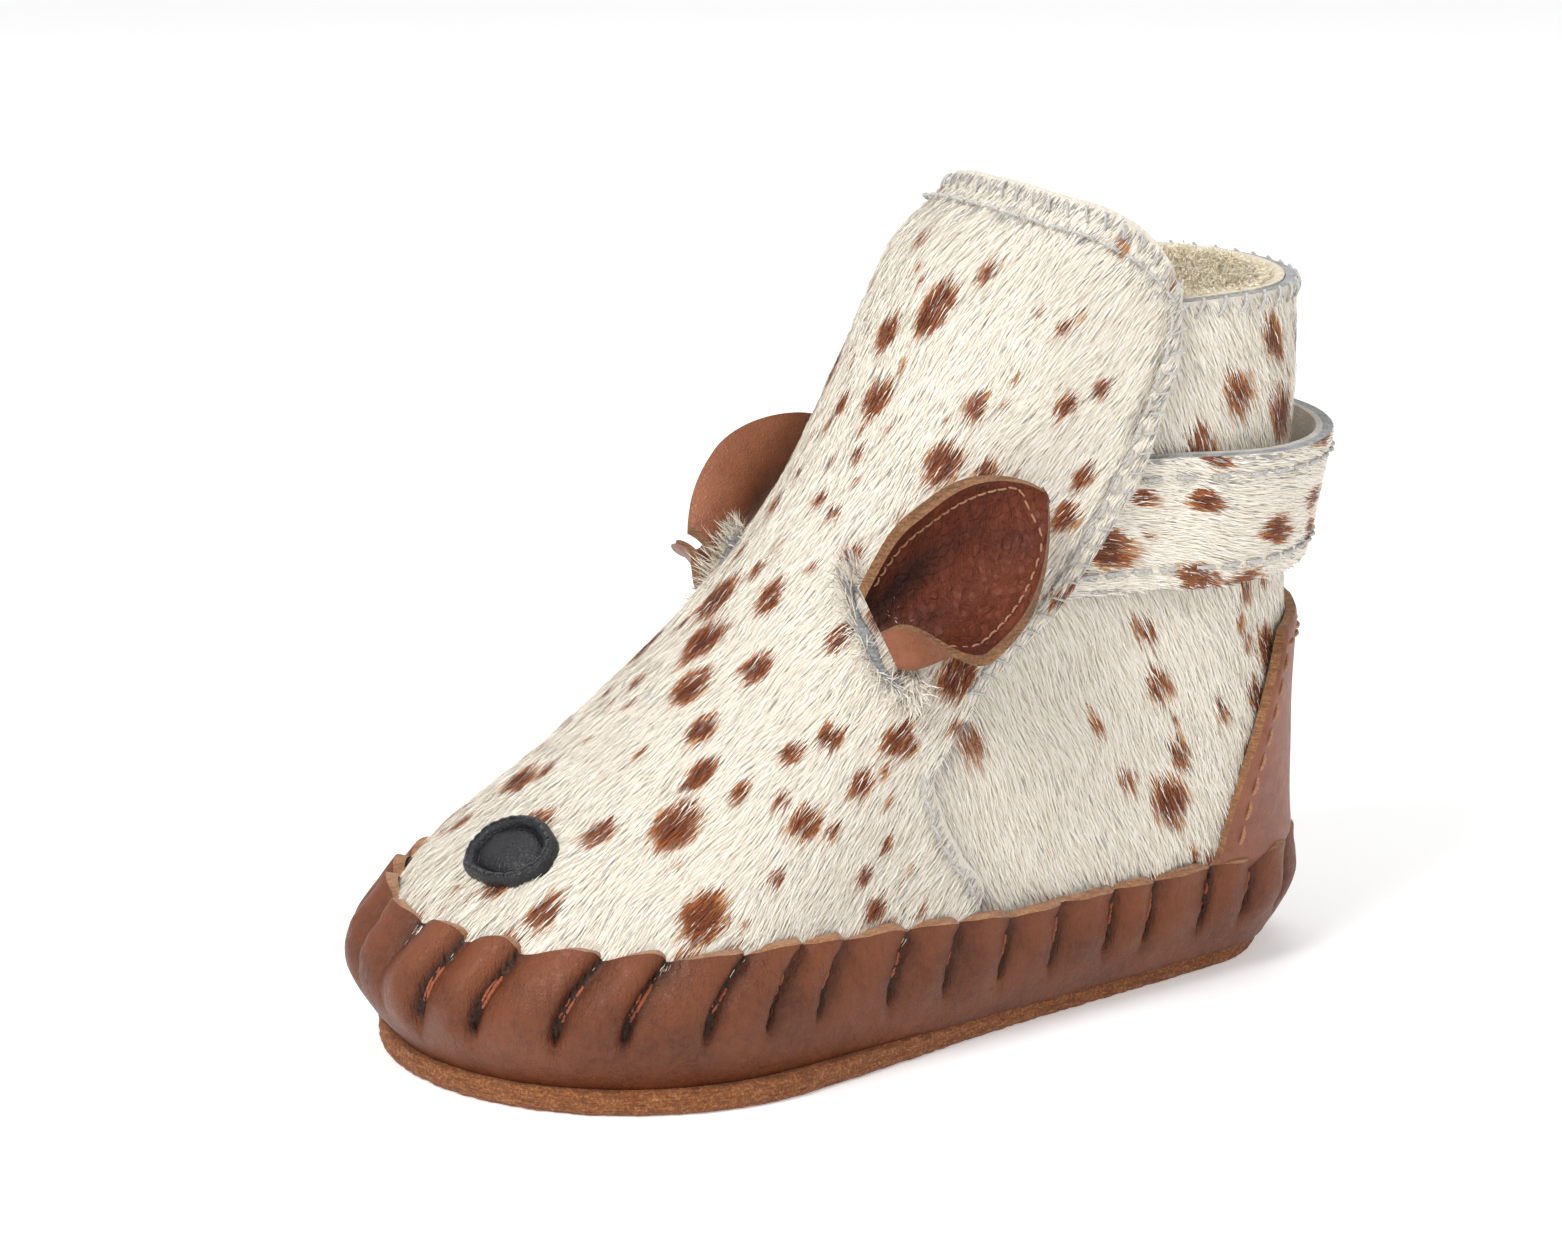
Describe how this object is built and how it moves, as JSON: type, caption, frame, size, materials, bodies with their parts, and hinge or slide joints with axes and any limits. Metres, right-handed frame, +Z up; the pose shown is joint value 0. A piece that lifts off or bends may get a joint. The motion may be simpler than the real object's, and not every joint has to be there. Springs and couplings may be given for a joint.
{
  "type": "baby bootie",
  "caption": "Soft moccasin-style baby bootie: pleated leather cup, fur upper with animal ears and nose, folding tongue and a strap round the heel.",
  "frame": {"origin": "middle of the bootie's box, on the ground under the outsole", "axes": "+Y towards the heel, -Y towards the toe, +X towards the outer side of the left foot, +Z up"},
  "size_m": [0.0684, 0.1355, 0.105],
  "materials": {
    "hair_hide": "short hair-on hide, cream with chestnut spots",
    "fleece": "clipped cream fleece",
    "lining_leather": "soft cream lining leather",
    "suede": "orange-brown suede with rough cut edge",
    "board": "leather board",
    "cup_leather": "smooth mid-brown leather, pleated",
    "counter_leather": "smooth pinkish-brown leather with raw edge",
    "nose_leather": "black leather",
    "ear_leather": "smooth brown leather",
    "ear_lining_leather": "pebbled red-brown leather",
    "thread": "grey-white thread",
    "rust_thread": "rust-coloured thread",
    "black_thread": "black thread",
    "tan_thread": "tan thread",
    "hook_tape": "hook tape",
    "loop_tape": "loop tape"
  },
  "bodies": {
    "shoe": {"outsole": "suede", "moccasin_cup": "cup_leather", "cup_stitches": "rust_thread", "insole_board": "board", "footbed": "fleece", "vamp": "hair_hide", "vamp_lining": "fleece", "side_seam_stitches": "thread", "quarter": "hair_hide", "quarter_lining": "fleece", "collar_stitches": "thread", "heel_counter": "counter_leather", "counter_stitches": "thread", "nose": "nose_leather", "nose_stitches": "black_thread", "strap_root": "hair_hide", "strap_root_lining": "lining_leather", "strap_root_stitches": "thread"},
    "tongue": {"tongue": "hair_hide", "tongue_lining": "lining_leather", "tongue_edge_stitches": "thread", "loop_patch": "loop_tape"},
    "strap": {"strap_end": "hair_hide", "strap_end_lining": "lining_leather", "strap_end_stitches": "thread", "hook_patch": "hook_tape"},
    "ear_lateral": {"ear_lateral_outer": "ear_leather", "ear_lateral_inner": "ear_lining_leather", "ear_lateral_stitches": "tan_thread"},
    "ear_medial": {"ear_medial_outer": "ear_leather", "ear_medial_inner": "ear_lining_leather", "ear_medial_stitches": "tan_thread"}
  },
  "joints": [
    {"name": "tongue_fold", "type": "hinge", "parent": "shoe", "child": "tongue", "pos_m": [0.0015, -0.0119, 0.045], "axis": [1, 0, 0], "range_deg": [0, 40], "stiffness_Nm_per_rad": 0.01},
    {"name": "strap_open", "type": "hinge", "parent": "shoe", "child": "strap", "pos_m": [0.02837, 0.04273, 0.0619], "axis": [-0.0654, -0.0092, -0.9978], "range_deg": [0, 75]},
    {"name": "ear_lateral_bend", "type": "hinge", "parent": "tongue", "child": "ear_lateral", "pos_m": [0.02025, -0.00832, 0.05222], "axis": [0.6135, 0.0939, -0.7841], "range_deg": [-8, 25], "stiffness_Nm_per_rad": 0.003},
    {"name": "ear_medial_bend", "type": "hinge", "parent": "tongue", "child": "ear_medial", "pos_m": [-0.01725, -0.00832, 0.05222], "axis": [0.6135, -0.0939, 0.7841], "range_deg": [-8, 25], "stiffness_Nm_per_rad": 0.003}
  ]
}
